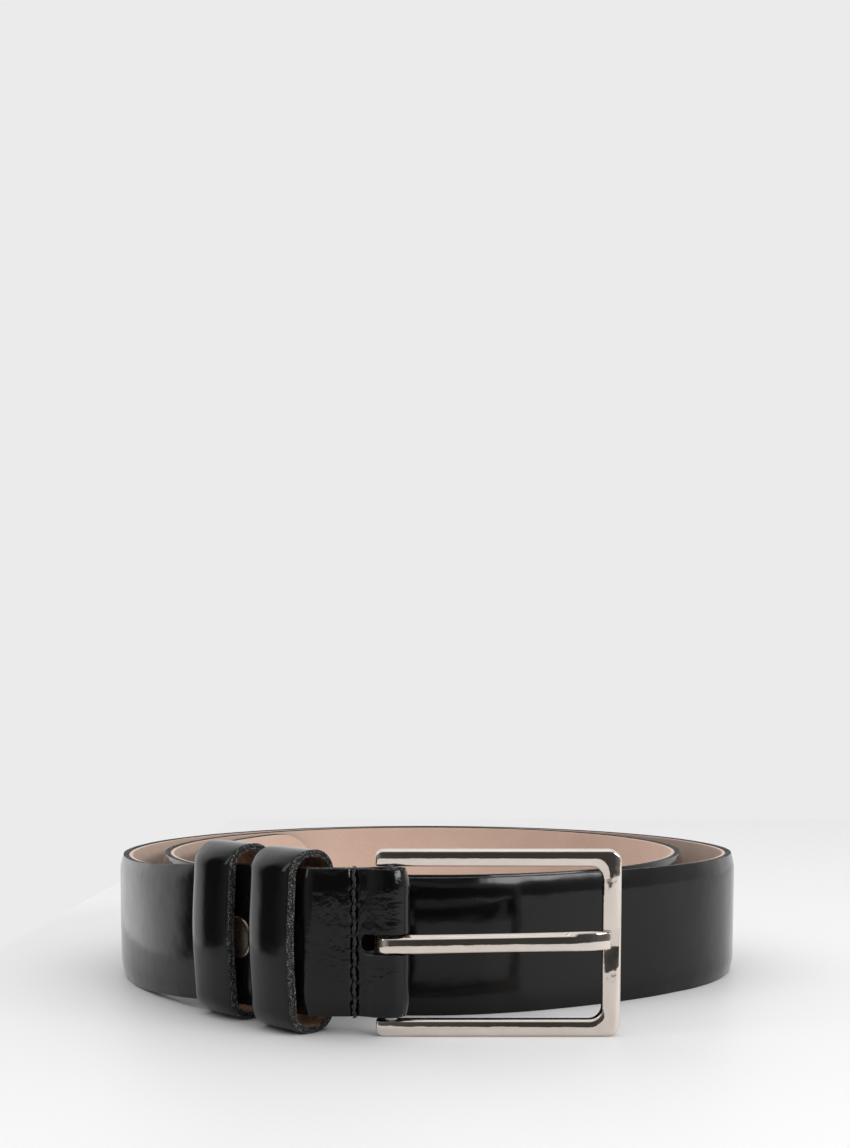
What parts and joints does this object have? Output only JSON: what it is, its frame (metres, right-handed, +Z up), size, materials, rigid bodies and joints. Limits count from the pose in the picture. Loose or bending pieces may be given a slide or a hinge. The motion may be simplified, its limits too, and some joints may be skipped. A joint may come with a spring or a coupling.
{
  "type": "leather belt",
  "caption": "Dress belt rolled into a coil on its edge: edge-thinned leather strap with pointed punched end, frame buckle with prong, padded keepers and a snap stud.",
  "frame": {"origin": "on the surface the belt stands on, below the middle of the bounding box of the whole belt", "axes": "+Z up, across the strap's width; -Y is the buckle's side; +X runs from the hinge bar towards the buckle's far bar"},
  "size_m": [0.1848, 0.193, 0.0444],
  "materials": {
    "glazed_leather": "high-gloss glazed black",
    "leather_board": "matte fibre board",
    "lining_leather": "fine matte grain",
    "waxed_thread": "waxed twisted thread",
    "polished_nickel": "polished, warm",
    "bar_steel": "drawn",
    "dark_nickel": "polished, dark",
    "stud_metal": "plated",
    "raw_leather": "raw flesh side, matte",
    "felt_pad": "felt",
    "staple_wire": "drawn wire"
  },
  "bodies": {
    "strap": {"strap_shell": "glazed_leather", "strap_core": "leather_board", "strap_lining": "lining_leather", "fold_stitches": "waxed_thread", "stud_cap": "dark_nickel", "stud_socket": "stud_metal", "stud_ball": "stud_metal", "stud_post": "stud_metal"},
    "buckle": {"buckle_frame": "polished_nickel", "buckle_bar": "bar_steel"},
    "prong": {"prong": "polished_nickel"},
    "keeper_near": {"keeper_near_shell": "glazed_leather", "keeper_near_pad": "felt_pad", "keeper_near_lining": "raw_leather", "keeper_near_staple": "staple_wire"},
    "keeper_far": {"keeper_far_shell": "glazed_leather", "keeper_far_pad": "felt_pad", "keeper_far_lining": "raw_leather", "keeper_far_staple": "staple_wire"}
  },
  "joints": [
    {"name": "buckle_hinge", "type": "hinge", "parent": "strap", "child": "buckle", "pos_m": [-0.00909, -0.09187, 0.0222], "axis": [0, 0, -1], "range_deg": [-20, 35]},
    {"name": "prong_hinge", "type": "hinge", "parent": "buckle", "child": "prong", "pos_m": [-0.00909, -0.09187, 0.0222], "axis": [0, 0, -1], "range_deg": [0, 85]},
    {"name": "keeper_near_slide", "type": "slide", "parent": "strap", "child": "keeper_near", "axis": [-0.7071, 0.7071, 0], "range_m": [-0.0003, 0.0034]},
    {"name": "keeper_far_slide", "type": "slide", "parent": "strap", "child": "keeper_far", "axis": [-0.7071, 0.7071, 0], "range_m": [-0.0034, 0.004]}
  ]
}
